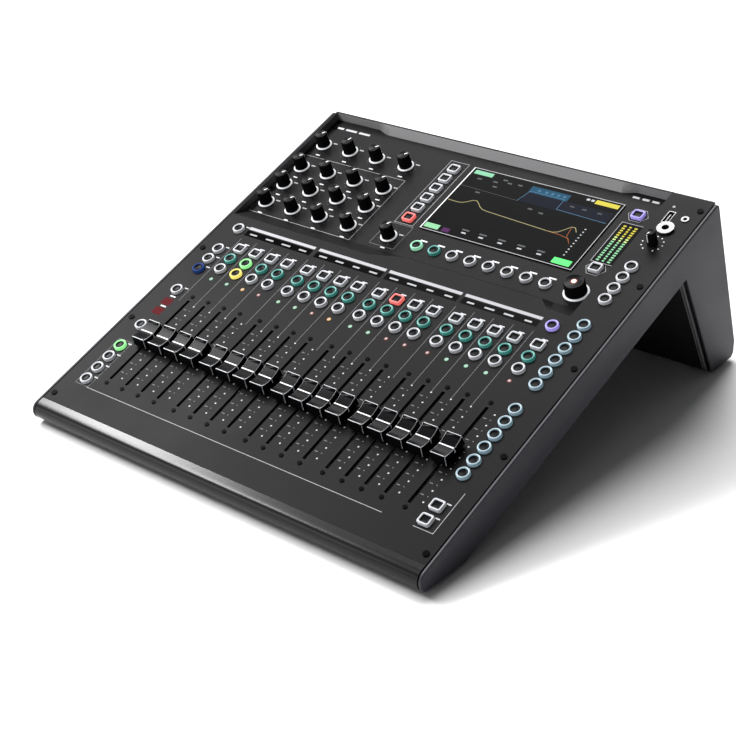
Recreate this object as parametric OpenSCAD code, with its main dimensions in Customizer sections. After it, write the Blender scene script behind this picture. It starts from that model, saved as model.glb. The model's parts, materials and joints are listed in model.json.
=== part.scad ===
// Digital mixing console: a wedge-shaped table-top control surface.
// A sloped panel with long-travel faders, keys and a touchscreen stands on a flat front
// edge and a hollow rear leg that carries the sockets.
// Axes: X to the right, Y to the rear, Z up, with the origin under the middle of the
// object on the table. Panel coordinates are (u, v, h): across, up the slope, and out of
// the panel, measured from the front fader screw in the middle of the panel.

/* [Case] */
// Overall width over both side cheeks
body_w = 440; // [438:1:450]
// Overall depth from the nose to the rear face
body_d = 475.2; // [474:0.2:480]
// Slope of the control panel, in degrees
tilt = 20; // [19:0.5:21]
// Radius of the half-round nose
nose_r = 9.5; // [9:0.5:10]
// Distance up the slope from the nose's centre to the front fader screws
nose_to_screws = 44; // [43:1:46]
// Distance up the slope from the front fader screws to the rear edge
deck_l = 400.5; // [398:0.5:404]
// Depth of the case under the panel
shell_h = 34; // [33:1:36]
// Thickness of the folded sheet steel
sheet_t = 2; // [1.5:0.5:2]
// Thickness of a side cheek
cheek_t = 3; // [2:0.5:3]
// Shadow gap between the panel and a cheek
cheek_gap = 1; // [0.5:0.5:1]
// Distance up the slope to the rear end of the sloped underside
underside_l = 335; // [333:1:338]
// Depth of the leg where it stands on the table
leg_foot_d = 36.5; // [36:0.5:38]
// Height of the upright strip at the foot of the rear face
rear_strip_h = 16.6; // [16:0.2:18]
// Height of the rubber feet
foot_h = 3; // [2:0.5:4]
// Diameter of a rubber foot
foot_d = 16; // [14:1:18]

/* [Faders] */
// Number of channel faders
channels = 16; // [16:1:16]
// Distance between neighbouring faders
fader_pitch = 20.14; // [20:0.02:20.2]
// Extra distance between banks of four faders
bank_gap = 4.28; // [4:0.02:4.4]
// Position across of the first fader
first_fader = -170.44; // [-171:0.02:-170]
// Position across of the main fader
main_fader = 167.92; // [167:0.02:168.6]
// Travel of a fader
travel = 100; // [100:1:100]
// Distance between the two screws of a fader
screw_span = 119.2; // [119:0.2:120]
// Width of a fader slot
slot_w = 3.2; // [3:0.1:3.4]
// Width of a fader cap
cap_w = 15; // [14:0.5:16]
// Length of a fader cap
cap_l = 26.5; // [25:0.5:28]
// Height of a fader cap
cap_h = 9.8; // [9:0.2:11]

/* [Keys] */
// Diameter of a round key
key_d = 11.8; // [11.4:0.1:12]
// Width of a square key
square_w = 11.6; // [11:0.1:12]
// Length of a square key
square_l = 10.6; // [10:0.1:11]
// Height of a key over the panel
key_rise = 2.8; // [2.4:0.1:3.2]
// Gap all round a key in its hole
key_gap = 0.6; // [0.5:0.1:0.7]

/* [Knobs] */
// Diameter of a channel-processing knob
knob_d = 13.4; // [13:0.1:14]
// Height of a channel-processing knob
knob_h = 14.5; // [13:0.5:16]
// Diameter of the bright flange round a knob's base
flange_d = 16.4; // [15:0.2:17]
// Diameter of the large rotary encoder
encoder_d = 20; // [19:0.5:21]
// Diameter of the bright flange round the encoder's base
encoder_flange_d = 23.4; // [22:0.2:24]
// Height of the large rotary encoder
encoder_h = 13.5; // [12:0.5:15]
// Diameter of the headphone level knob
phones_d = 10; // [9:0.5:11]
// Height of the headphone level knob
phones_h = 13; // [12:0.5:14]
// Diameter of a knob's shaft
shaft_d = 6; // [5.5:0.5:6]
// Gap between a knob and the panel, and all round its shaft
knob_gap = 0.6; // [0.5:0.1:0.7]

/* [Recess] */
// Depth of the sunken control section
recess_d = 8; // [7.5:0.5:8.5]
// Right-hand wall of the sunken section, across the panel
recess_right = 176; // [175:1:177]
// Where the front ramp leaves the panel
ramp_front = 230; // [229:1:231]
// Where the panel's middle tongue ends
tongue_end = 239; // [238:1:240]
// Where the front ramp meets the sunken floor
floor_front = 246; // [245:0.5:247]
// Where the wide rear ramp leaves the sunken floor
floor_rear = 392.5; // [391:0.5:394]
// Where the rear ramps reach the rim
rim_front = 398.5; // [398:0.1:399]

/* [Rear sockets] */
// Distance between neighbouring round sockets
socket_pitch = 27; // [27:0.5:28]
// Diameter of a round socket's body
socket_d = 23.4; // [23:0.2:23.6]
// Inner diameter of an output socket's cup
cup_d = 18; // [17.5:0.5:18.5]

/* [Hidden] */
$fn = 48;

half_w = body_w / 2;
inner_w = body_w - 2 * (cheek_t + cheek_gap);
half_inner = inner_w / 2;
along = [cos(tilt), sin(tilt)];
normal = [-sin(tilt), cos(tilt)];
nose = [-body_d / 2 + nose_r, foot_h + nose_r];
panel_zero = nose + nose_to_screws * along + nose_r * normal;
function panel_point(v, h) = panel_zero + v * along + h * normal;

// Side outline, as points in Y and Z
rear_top = panel_point(deck_l, 0);
rear_foot = [body_d / 2, foot_h + rear_strip_h];
rear_dir = (rear_top - rear_foot) / norm(rear_top - rear_foot);
rear_lean = atan2(-rear_dir[0], rear_dir[1]);
foot_chamfer = 4.2;
leg_front = [body_d / 2 - leg_foot_d - foot_chamfer, foot_h];
knee = panel_point(underside_l, -shell_h);
heel_v = (foot_h - panel_zero[1] + shell_h * cos(tilt)) / sin(tilt);
heel = panel_point(heel_v, -shell_h);
corner_cut = 3;

deck_front = -nose_to_screws + 5;
slot_front = 5;
slot_rear = 114;
cap_rest = screw_span / 2;
cap_clear = 2.2;
lever_w = 2;
lever_l = 6;
lever_depth = 20;

fader_u = [for (i = [0 : channels - 1])
    first_fader + i * fader_pitch + floor(i / 4) * bank_gap];
all_fader_u = concat(fader_u, [main_fader]);

mute_v = 189.7;
select_v = 174.8;
listen_v = 160;
left_u = -192.3;
right_u = 191;
left_keys = concat(
    [for (v = [213, 121, 70]) [left_u, v]],
    [for (i = [0 : 2]) [left_u, 152.5 + 14.75 * i]],
    [for (i = [0 : 3]) [left_u, -4.5 + 15.2 * i]]);
right_keys = concat(
    [[main_fader - 1.4, 213.5]],
    [for (i = [0 : 3]) [right_u, 257.5 + 14.4 * i]],
    [for (i = [0 : 5]) [right_u, 150.5 + 14.7 * i]],
    [for (i = [0 : 5]) [right_u, 46.7 + 14.75 * i]]);
round_function_keys = concat(left_keys, right_keys);
square_function_keys = [for (v = [-4, 11.5]) [right_u, v]];
soft_keys_at = [for (i = [0 : 7]) [-14.4 + 20.1 * i, 262.7]];
screen_keys_at = concat(
    [for (i = [0 : 5]) [-46, 293.5 + 15 * i]],
    [[156, 369.6], [157, 295.8]]);

knob_rows = [262.5, 291.2, 319.5, 356.5];
knob_columns = [-201, -166.6, -132, -95.8];
gain_at = [-48.2, 264.3];
encoder_at = [157.9, 262.8];
phones_at = [192, 334];
processing_knobs = [for (v = knob_rows) for (u = knob_columns) [u, v]];
knob_names = concat(
    [for (i = [1 : len(processing_knobs)]) str("knob_", i)],
    ["gain_knob", "encoder_knob", "phones_knob"]);
shaft_end = -17;
shaft_hole_r = shaft_d / 2 + knob_gap;
key_hole_r = key_d / 2 + key_gap;
key_dish = 0.9;
deck_stem = 9.6;
recess_stem = 11;
board_t = 1.6;
high_board = -12.4;
low_board = -22.4;
// Boards as left, right, front and rear edges and height of the top
boards = [
    [-212, 212, 137, 227, high_board],
    [-212, -182, -12, 136, high_board],
    [178, 212, -12, 136, high_board],
    [180, 212, 228, 316, high_board],
    [-212, 170, 250, 376, low_board],
    [182, 204, 322, 346, low_board]];
flange_t = 1.8;
steep_foot = 397;
ramp_underside = 2.24;
seam_rise = 1.8;

headphone_at = [193.3, 354.3];
aux_at = [203, 371];
usb_at = [188, 369];
headphone_r = 3.25;
headphone_body_r = 6;
aux_r = 1.8;
aux_body_r = 3;
usb_w = 7;
usb_l = 15.6;

screen_box = [-27, 285, 165.5, 92];
screen_rim = 6;
glass_t = 1.2;
strips = [[-182.3, -99], [-94, -14.5], [-10.5, 70.2], [74, 153.7]];
strip_v = [207.8, 215.4];
meter_box = [147, 302.5, 23, 55];
panel_screws_at = concat(
    [for (u = [-210, 210]) for (v = [-30, 75, 178]) [u, v, 0]],
    [for (v = [282, 385]) for (side = [[-209, -recess_d], [210, 0]])
        [side[0], v, side[1]]]);
fader_screws_at = [for (u = all_fader_u) for (v = [0, screw_span]) [u, v, 0]];
screw_hole_r = 1.6;
screw_l = 1.8;

mic_rows = [97, 131];
first_mic = -2;
mics_per_row = 8;
output_row = 60;
first_output = -110;
outputs = 12;
socket_window = 24.6;
power_at = [-166, 78];
power_window = [34, 74];
inlet_drop = 19;
rocker_rise = 20;
rocker_depth = 4.5;
rocker_tilt = 8;
network_at = [-76, 114];
network_window = [42, 20];

fader_names = concat(
    [for (i = [1 : channels]) str("fader_cap_", i)], ["fader_cap_main"]);

// ---- placing ----

// Children drawn in panel coordinates
module on_panel() {
    translate([0, panel_zero[0], panel_zero[1]])
        rotate([tilt, 0, 0])
            children();
}

// Children drawn on the rear face: x to the right as seen from behind, y up, z out
module on_rear() {
    translate([0, rear_foot[0], rear_foot[1]])
        rotate([90 - rear_lean, 0, 180])
            children();
}

// Extrudes a side outline in Y and Z across the case
module across(from, to) {
    translate([from, 0, 0])
        rotate([90, 0, 90])
            linear_extrude(to - from)
                children();
}

// Extrudes a profile in v and h across the panel
module panel_strip(from, to) {
    on_panel() across(from, to) children();
}

// ---- folded sheet ----

function left_of(a) = [-a[1], a[0]];
function unit(a) = a / norm(a);
function run(p, i) = unit(p[i + 1] - p[i]);
function miter(a, b, t) = unit(left_of(a) + left_of(b)) * t
    / (unit(left_of(a) + left_of(b)) * left_of(a));
function inner_line(p, t) = [for (i = [0 : len(p) - 1])
    p[i] + (i == 0 ? left_of(run(p, 0)) * t
        : i == len(p) - 1 ? left_of(run(p, i - 1)) * t
        : miter(run(p, i - 1), run(p, i), t))];
function reversed(p) = [for (i = [len(p) - 1 : -1 : 0]) p[i]];

// A folded strip of sheet whose outer face follows the points
module folded(p, t) {
    polygon(concat(p, reversed(inner_line(p, t))));
}

// ---- small shapes ----

module rounded_block(w, l, h, r) {
    translate([-w / 2 + r, -l / 2, 0]) cube([w - 2 * r, l, h]);
    translate([-w / 2, -l / 2 + r, 0]) cube([w, l - 2 * r, h]);
    for (sx = [-1, 1])
        for (sy = [-1, 1])
            translate([sx * (w / 2 - r), sy * (l / 2 - r), 0])
                cylinder(r = r, h = h);
}

module centred_block(w, l, h) {
    translate([-w / 2, -l / 2, 0]) cube([w, l, h]);
}

// ---- case ----

// The front half of a round bar and the two straight legs that run back from it
module nose_outline(r, reach) {
    difference() {
        translate(nose) circle(r);
        polygon([nose, nose + 2 * r * normal, nose + [3 * r, 2 * r],
            nose + [3 * r, -2 * r], nose + [0, -2 * r]]);
    }
    polygon([nose + r * normal, nose + r * normal + reach * along,
        nose + [reach, -r], nose + [0, -r]]);
}

module cheek_outline() {
    translate(nose) circle(nose_r);
    polygon([
        nose + nose_r * normal,
        rear_top - corner_cut * along,
        rear_top - corner_cut * rear_dir,
        rear_foot,
        [body_d / 2, foot_h + foot_chamfer],
        [body_d / 2 - foot_chamfer, foot_h],
        leg_front, knee, heel,
        nose + [0, -nose_r]]);
}

module side_cheeks() {
    color("#3a3d44") {
        across(-half_w, -half_w + cheek_t) cheek_outline();
        across(half_w - cheek_t, half_w) cheek_outline();
    }
}

module nose_bar() {
    color("#2b2c2f")
        across(-half_inner, half_inner)
            difference() {
                nose_outline(nose_r, 5);
                nose_outline(nose_r - sheet_t, 6);
            }
}

module deck_plan() {
    difference() {
        translate([-half_inner, deck_front])
            square([inner_w, deck_l - deck_front]);
        polygon([[-half_inner - 1, ramp_front], [-45, ramp_front], [-10, tongue_end],
            [140, tongue_end], [150, ramp_front], [recess_right, ramp_front],
            [recess_right, deck_l + 1], [-half_inner - 1, deck_l + 1]]);
    }
}

module round_holes(places, r, top) {
    for (p = places)
        translate([p[0], p[1], top - sheet_t - 1])
            cylinder(r = r, h = sheet_t + 2);
}

module square_holes(places, top) {
    for (p = places)
        translate([p[0], p[1], top - sheet_t - 1])
            rounded_block(square_w + 2 * key_gap, square_l + 2 * key_gap,
                sheet_t + 2, 2);
}

module fader_slots() {
    for (u = all_fader_u)
        translate([u - slot_w / 2, slot_front, -sheet_t - 1])
            cube([slot_w, slot_rear - slot_front, sheet_t + 2]);
}

module top_panel() {
    lip = recess_d + sheet_t;
    color("#303134")
        on_panel()
            difference() {
                union() {
                    translate([0, 0, -sheet_t])
                        linear_extrude(sheet_t) deck_plan();
                    translate([recess_right, deck_l - sheet_t, -lip])
                        cube([half_inner - recess_right, sheet_t, lip - 1]);
                }
                fader_slots();
                square_holes([for (u = all_fader_u) [u, mute_v]], 0);
                round_holes([for (u = all_fader_u) [u, select_v]], key_hole_r, 0);
                round_holes([for (u = all_fader_u) [u, listen_v]], key_hole_r, 0);
                round_holes(round_function_keys, key_hole_r, 0);
                square_holes(square_function_keys, 0);
                round_holes([phones_at], shaft_hole_r, 0);
                round_holes([headphone_at], headphone_body_r, 0);
                round_holes([aux_at], aux_body_r, 0);
                translate([usb_at[0], usb_at[1], -sheet_t - 1])
                    centred_block(usb_w, usb_l, sheet_t + 2);
                for (s = strips)
                    translate([s[0], strip_v[0], -sheet_t - 1])
                        cube([s[1] - s[0], strip_v[1] - strip_v[0], sheet_t + 2]);
                round_holes([for (s = panel_screws_at) if (s[2] == 0) s],
                    screw_hole_r, 0);
                round_holes(fader_screws_at, screw_hole_r, 0);
            }
}

// Outline of the sunken sheet with plain ramps, in v and h
module recess_outline() {
    under = -recess_d - sheet_t;
    polygon([[ramp_front, 0], [floor_front, -recess_d], [steep_foot, -recess_d],
        [rim_front, 0], [deck_l, 0], [deck_l, under], [floor_front - 0.5, under],
        [ramp_front, -ramp_underside]]);
}

// A ramp that rises from the sunken floor, in v and h, sunk a little into what carries it
module rear_ramp() {
    slope = (rim_front - floor_rear) / recess_d;
    polygon([[rim_front, 0], [rim_front + 0.5, -1], [rim_front + 0.5, -recess_d - 1],
        [floor_rear - slope, -recess_d - 1]]);
}

// The steep face in front of the tongue
module tongue_face() {
    foot = floor_front + 0.5;
    slope = (foot - tongue_end) / recess_d;
    polygon([[tongue_end, 0], [foot + slope, -recess_d - 1],
        [tongue_end - 1, -recess_d - 1], [tongue_end - 1, -sheet_t],
        [tongue_end, -sheet_t]]);
}

module tongue_plan() {
    polygon([[-45, ramp_front], [-10, tongue_end], [140, tongue_end],
        [150, ramp_front]]);
}

module recess_sheet() {
    under = -recess_d - sheet_t;
    difference() {
        panel_strip(-half_inner, recess_right) recess_outline();
        on_panel()
            translate([0, 0, -sheet_t]) linear_extrude(2 * sheet_t) tongue_plan();
    }
    on_panel() {
        translate([0, 0, under]) linear_extrude(recess_d) tongue_plan();
        for (u = [-half_inner, recess_right - sheet_t])
            translate([u, ramp_front, under])
                cube([sheet_t, deck_l - ramp_front, -under]);
    }
    panel_strip(-10, 140) tongue_face();
    panel_strip(-145, 125) rear_ramp();
}

module control_recess() {
    color("#2c2d30")
        difference() {
            recess_sheet();
            on_panel() {
                round_holes(concat(processing_knobs, [gain_at, encoder_at]),
                    shaft_hole_r, -recess_d);
                round_holes(soft_keys_at, key_hole_r, -recess_d);
                square_holes(screen_keys_at, -recess_d);
                round_holes([for (s = panel_screws_at) if (s[2] != 0) s],
                    screw_hole_r, -recess_d);
                translate([screen_box[0] + screen_rim, screen_box[1] + screen_rim,
                    -recess_d - sheet_t - 1])
                    cube([screen_box[2] - 2 * screen_rim,
                        screen_box[3] - 2 * screen_rim, sheet_t + 2]);
            }
        }
}

// Folded sheet under the case: front floor, sloped underside, leg front and leg foot
module base_tray() {
    color("#232427")
        across(-half_inner, half_inner)
            folded([
                [nose[0] + 5, foot_h], heel, knee, leg_front,
                [body_d / 2 - foot_chamfer, foot_h],
                [body_d / 2, foot_h + foot_chamfer],
                [body_d / 2, foot_h + foot_chamfer + seam_rise]], sheet_t);
}

module rear_windows() {
    deep = 10;
    row_w = (mics_per_row - 1) * socket_pitch + socket_window;
    out_w = (outputs - 1) * socket_pitch + socket_window;
    translate([0, 0, -deep / 2]) {
        for (s = mic_rows)
            translate([first_mic - socket_window / 2, s - socket_window / 2, 0])
                cube([row_w, socket_window, deep]);
        translate([first_output - socket_window / 2,
            output_row - socket_window / 2, 0])
            cube([out_w, socket_window, deep]);
        translate(power_at) centred_block(power_window[0], power_window[1], deep);
        translate(network_at)
            centred_block(network_window[0], network_window[1], deep);
    }
}

module rear_panel() {
    top_gap = recess_d + sheet_t + 0.2;
    color("#26272a")
        difference() {
            across(-half_inner, half_inner)
                folded([
                    [body_d / 2, foot_h + foot_chamfer + seam_rise], rear_foot,
                    rear_top - top_gap * rear_dir], sheet_t);
            on_rear() rear_windows();
        }
}

module rubber_feet() {
    color("#101010")
        for (x = [-195, 195])
            for (y = [nose[0] + 18, body_d / 2 - 23])
                translate([x, y, 0]) cylinder(d = foot_d, h = foot_h);
}

// ---- displays ----

module touchscreen() {
    color("#08090b")
        on_panel() {
            translate([screen_box[0], screen_box[1], -recess_d])
                cube([screen_box[2], screen_box[3], glass_t]);
            translate([screen_box[0] + screen_rim + 0.2,
                screen_box[1] + screen_rim + 0.2, -20])
                cube([screen_box[2] - 2 * screen_rim - 0.4,
                    screen_box[3] - 2 * screen_rim - 0.4, 20 - recess_d]);
        }
}

module display_windows() {
    color("#0b0b0c")
        on_panel() {
            for (s = strips)
                translate([s[0], strip_v[0], -3.5])
                    cube([s[1] - s[0], strip_v[1] - strip_v[0], 3.5]);
            translate([meter_box[0], meter_box[1], -recess_d])
                cube([meter_box[2], meter_box[3], 0.6]);
        }
}

// ---- inside ----

module fader_track() {
    difference() {
        translate([-6.5, -4.5, -27]) cube([13, 128, 24.9]);
        translate([-5.3, slot_front - 0.7, -25])
            cube([10.6, slot_rear - slot_front + 1.4, 30]);
    }
    translate([0, 123, -14]) rotate([-90, 0, 0]) cylinder(r = 6.2, h = 13);
}

module fader_tracks() {
    color("#8b8e93")
        on_panel()
            for (u = all_fader_u) translate([u, 0, 0]) fader_track();
}

module board(b) {
    translate([b[0], b[2], b[4] - board_t]) cube([b[1] - b[0], b[3] - b[2], board_t]);
}

module encoder_body(at) {
    translate([at[0], at[1], low_board - 0.01])
        centred_block(11, 11, shaft_end - knob_gap - low_board);
}

module circuit_boards() {
    color("#1d5a3a") {
        on_panel() {
            for (b = boards) board(b);
            for (p = concat(processing_knobs, [gain_at, encoder_at, phones_at]))
                encoder_body(p);
        }
        on_rear()
            translate([-20, 30, -28]) cube([210, 90, board_t]);
    }
}

module power_supply() {
    color("#a9abad")
        on_rear()
            translate([-190, 40, -44]) cube([150, 70, 17.5]);
}

// ---- sockets ----

module socket_flange() {
    rounded_block(26, 31, flange_t, 3);
}

module input_socket() {
    difference() {
        union() {
            socket_flange();
            translate([0, 0, -22]) cylinder(d = socket_d, h = 22.01);
            cylinder(d = 21, h = flange_t + 0.8);
        }
        difference() {
            translate([0, 0, -12]) cylinder(r = 8.4, h = 20);
            translate([0, 0, -13]) cylinder(r = 6.2, h = 13 + flange_t);
        }
        for (a = [0, 180, 270])
            rotate([0, 0, a])
                translate([4.4, 0, -12]) cylinder(r = 1.3, h = 20);
    }
}

module output_socket() {
    cup_floor = -16;
    difference() {
        union() {
            socket_flange();
            translate([0, 0, -22]) cylinder(d = socket_d, h = 22.01);
        }
        translate([0, 0, cup_floor]) cylinder(d = cup_d, h = 20);
    }
    for (a = [0, 180, 270])
        rotate([0, 0, a])
            translate([4.4, 0, cup_floor - 0.5]) cylinder(r = 1.2, h = 13.5);
}

module mic_inputs() {
    color("#1a1a1b")
        on_rear()
            for (s = mic_rows)
                for (i = [0 : mics_per_row - 1])
                    translate([first_mic + i * socket_pitch, s, 0]) input_socket();
}

module line_outputs() {
    color("#1f1f20")
        on_rear()
            for (i = [0 : outputs - 1])
                translate([first_output + i * socket_pitch, output_row, 0])
                    output_socket();
}

module power_module() {
    difference() {
        union() {
            rounded_block(40, 84, flange_t, 2);
            translate([0, -inlet_drop, -21]) centred_block(29, 21, 21.01);
            translate([0, rocker_rise, -14]) centred_block(16, 26, 14.01);
        }
        translate([0, -inlet_drop, -17]) centred_block(24.6, 16.6, 30);
        translate([0, rocker_rise, -12]) centred_block(12.2, 21.8, 30);
    }
    for (p = [[-7, -2], [7, -2], [0, 3]])
        translate([p[0], p[1] - inlet_drop, -17.5]) centred_block(2, 4, 14.5);
}

module network_module() {
    difference() {
        union() {
            rounded_block(46, 24, flange_t, 1.5);
            translate([0, 0, -16]) centred_block(40, 18, 16.01);
        }
        for (x = [-10, 10])
            translate([x, 0, -13]) centred_block(12, 8.4, 30);
    }
}

module rear_sockets() {
    color("#161617")
        on_rear() {
            translate(power_at) power_module();
            translate(network_at) network_module();
        }
}

module top_sockets() {
    color("#4b4c4f")
        on_panel() {
            translate(headphone_at)
                difference() {
                    union() {
                        cylinder(r = 7.8, h = 2.2);
                        translate([0, 0, -26]) cylinder(r = headphone_body_r - 0.1,
                            h = 26.01);
                    }
                    translate([0, 0, -24]) cylinder(r = headphone_r, h = 30);
                }
            translate(aux_at)
                difference() {
                    union() {
                        cylinder(r = 3.6, h = 0.8);
                        translate([0, 0, -16]) cylinder(r = aux_body_r - 0.1,
                            h = 16.01);
                    }
                    translate([0, 0, -14]) cylinder(r = aux_r, h = 20);
                }
            translate(usb_at) {
                difference() {
                    translate([0, 0, -14]) centred_block(usb_w - 0.2, usb_l - 0.2, 14.4);
                    translate([0, 0, -12]) centred_block(usb_w - 1.4, usb_l - 1.8, 20);
                }
                translate([-1.4, 0, -12.5]) centred_block(1.6, usb_l - 3.6, 11);
            }
        }
}

// ---- fasteners ----

module screw(at, head_r, head_h) {
    translate(at) {
        cylinder(r = head_r, h = head_h);
        translate([0, 0, -screw_l]) cylinder(r = screw_hole_r - 0.2, h = screw_l + 0.01);
    }
}

module panel_screws() {
    color("#0d0d0e")
        on_panel() {
            for (s = panel_screws_at) screw(s, 2.8, 0.9);
            for (s = fader_screws_at) screw(s, 2, 0.7);
        }
}

// ---- faders ----

// A cap with a finger dish on top and a lever down through its slot
module fader_cap(u) {
    dish_r = 26;
    dish_depth = 2;
    end_slope = 1.2;
    color("#0c0c0d")
        on_panel()
            translate([u, cap_rest, 0]) {
                translate([0, 0, cap_clear])
                    across(-cap_w / 2, cap_w / 2)
                        difference() {
                            polygon([[-cap_l / 2, 0], [cap_l / 2, 0],
                                [cap_l / 2 - end_slope, cap_h],
                                [end_slope - cap_l / 2, cap_h]]);
                            translate([0, cap_h + dish_r - dish_depth])
                                circle(dish_r, $fn = 96);
                        }
                translate([0, 0, -lever_depth])
                    centred_block(lever_w, lever_l, lever_depth + cap_clear + 0.01);
            }
}

// ---- knobs ----

// A flanged knob on a shaft that runs down into its encoder
module knob(at, surface, d, h, base_d) {
    base_h = 1.3;
    taper = 0.5;
    edge = 0.8;
    color("#0f0f10")
        on_panel()
            translate([at[0], at[1], surface + knob_gap]) {
                rotate_extrude()
                    polygon([[0, 0], [base_d / 2, 0], [base_d / 2, base_h],
                        [d / 2, base_h], [d / 2 - taper, h - edge],
                        [d / 2 - taper - edge, h], [0, h]]);
                translate([0, 0, shaft_end - surface - knob_gap])
                    cylinder(d = shaft_d, h = surface + knob_gap - shaft_end + 0.01);
            }
}

module knob_by_number(i) {
    count = len(processing_knobs);
    if (i < count)
        knob(processing_knobs[i], -recess_d, knob_d, knob_h, flange_d);
    else if (i == count)
        knob(gain_at, -recess_d, knob_d, knob_h, flange_d);
    else if (i == count + 1)
        knob(encoder_at, -recess_d, encoder_d, encoder_h, encoder_flange_d);
    else
        knob(phones_at, 0, phones_d, phones_h, phones_d);
}

// ---- keys ----

module key_stem(h) {
    translate([0, 0, -h]) cylinder(d = 5, h = h);
}

module round_key(h) {
    difference() {
        translate([0, 0, -0.8]) cylinder(d = key_d, h = key_rise + 0.8);
        translate([0, 0, key_rise - key_dish]) cylinder(d = 0.62 * key_d, h = 2);
    }
    key_stem(h);
}

module square_key(h) {
    difference() {
        translate([0, 0, -0.8]) rounded_block(square_w, square_l, key_rise + 0.8, 2);
        translate([0, 0, key_rise - key_dish])
            rounded_block(0.62 * square_w, 0.62 * square_l, 2, 1);
    }
    key_stem(h);
}

module round_keys(places, surface, stem) {
    on_panel()
        for (p = places) translate([p[0], p[1], surface]) round_key(stem);
}

module square_keys(places, surface, stem) {
    on_panel()
        for (p = places) translate([p[0], p[1], surface]) square_key(stem);
}

module mute_keys() {
    color("#d8dadd") square_keys([for (u = all_fader_u) [u, mute_v]], 0, deck_stem);
}

module select_keys() {
    color("#2fb3a0") round_keys([for (u = all_fader_u) [u, select_v]], 0, deck_stem);
}

module listen_keys() {
    color("#d8dadd") round_keys([for (u = all_fader_u) [u, listen_v]], 0, deck_stem);
}

module soft_keys() {
    color("#d8dadd") round_keys(soft_keys_at, -recess_d, recess_stem);
}

module screen_keys() {
    color("#d8dadd") square_keys(screen_keys_at, -recess_d, recess_stem);
}

module function_keys() {
    color("#bfe6ea") {
        round_keys(round_function_keys, 0, deck_stem);
        square_keys(square_function_keys, 0, deck_stem);
    }
}

module power_rocker() {
    color("#121212")
        on_rear()
            translate([power_at[0], power_at[1] + rocker_rise, -rocker_depth])
                rotate([rocker_tilt, 0, 0])
                    across(-5.5, 5.5)
                        polygon([[-9, 3], [-9, 5], [0, 3.6], [9, 5], [9, 3],
                            [6, -3], [-6, -3]]);
}

side_cheeks();
nose_bar();
top_panel();
control_recess();
base_tray();
rear_panel();
touchscreen();
display_windows();
fader_tracks();
circuit_boards();
power_supply();
mic_inputs();
line_outputs();
rear_sockets();
top_sockets();
rubber_feet();
panel_screws();
for (i = [0 : channels])
    fader_cap(all_fader_u[i]);
for (i = [0 : len(knob_names) - 1])
    knob_by_number(i);
mute_keys();
select_keys();
listen_keys();
soft_keys();
screen_keys();
function_keys();
power_rocker();
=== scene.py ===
"""Looks of the mixing console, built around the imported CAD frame.

Unless a comment says otherwise, lengths are millimetres in the panel's own axes: u across, v up
the slope, h out of the panel. PANEL turns them into metres in the shared frame. REAR does the same
for the rear face's axes. Lights and the camera are placed in metres in the shared frame.
"""
import json
import math
import random

import bmesh
import bpy
from mathutils import Matrix, Vector


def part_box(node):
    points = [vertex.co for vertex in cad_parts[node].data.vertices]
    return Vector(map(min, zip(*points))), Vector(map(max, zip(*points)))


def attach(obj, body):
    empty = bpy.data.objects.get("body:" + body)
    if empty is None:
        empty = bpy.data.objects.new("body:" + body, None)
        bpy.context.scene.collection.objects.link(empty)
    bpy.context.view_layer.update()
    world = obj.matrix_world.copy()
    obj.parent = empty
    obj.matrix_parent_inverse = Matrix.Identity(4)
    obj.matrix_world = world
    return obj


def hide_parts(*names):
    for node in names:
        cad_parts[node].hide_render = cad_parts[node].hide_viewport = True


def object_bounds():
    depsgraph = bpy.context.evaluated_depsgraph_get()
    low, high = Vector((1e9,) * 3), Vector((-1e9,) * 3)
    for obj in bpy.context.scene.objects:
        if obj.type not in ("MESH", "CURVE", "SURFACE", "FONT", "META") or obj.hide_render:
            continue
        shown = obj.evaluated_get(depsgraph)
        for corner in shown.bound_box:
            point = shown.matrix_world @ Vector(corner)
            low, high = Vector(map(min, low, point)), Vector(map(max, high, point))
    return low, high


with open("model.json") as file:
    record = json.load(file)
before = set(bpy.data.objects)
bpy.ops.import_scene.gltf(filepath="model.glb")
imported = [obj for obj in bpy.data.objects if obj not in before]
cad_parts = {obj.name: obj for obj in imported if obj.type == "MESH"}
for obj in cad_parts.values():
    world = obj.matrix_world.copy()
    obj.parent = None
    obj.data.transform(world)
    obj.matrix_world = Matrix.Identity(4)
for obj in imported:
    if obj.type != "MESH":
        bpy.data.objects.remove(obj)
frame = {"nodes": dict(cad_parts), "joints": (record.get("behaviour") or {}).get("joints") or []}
cad_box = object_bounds()

MM = 0.001
CONSOLE = "console"
JOINTS = {joint["name"]: joint for joint in frame["joints"]}


# ---- axes, worked out from the frame ----

def panel_matrix():
    """The panel's axes: the slope is that of the faders, and the zero follows from one knob."""
    phones_at = Vector((192.0, 334.0, 0.0))
    slide = Vector(JOINTS["fader_slide_1"]["axis"])
    turn = Matrix.Rotation(math.atan2(slide.z, slide.y), 4, "X")
    zero = Vector(JOINTS["phones_turn"]["pos_m"]) - turn @ phones_at * MM
    return Matrix.Translation(zero) @ turn @ Matrix.Scale(MM, 4)


def rear_matrix():
    """The rear face's axes: x to the right as seen from behind, y up the face, z out of it."""
    strip_h, top_v = 19.6, 400.5
    foot = Vector((0.0, cad_box[1][1], strip_h * MM))
    top = PANEL @ Vector((0.0, top_v, 0.0))
    up = (top - foot).normalized()
    out = Vector((0.0, up.z, -up.y))
    turn = Matrix(((-1, 0, 0), (0, up.y, out.y), (0, up.z, out.z))).to_4x4()
    return Matrix.Translation(foot) @ turn @ Matrix.Scale(MM, 4)


PANEL = panel_matrix()
REAR = rear_matrix()
TO_PANEL = PANEL.inverted()
# Floor of the sunken section, at the level of the gain knob's joint
RECESS_H = (TO_PANEL @ Vector(JOINTS["gain_turn"]["pos_m"])).z


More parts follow.
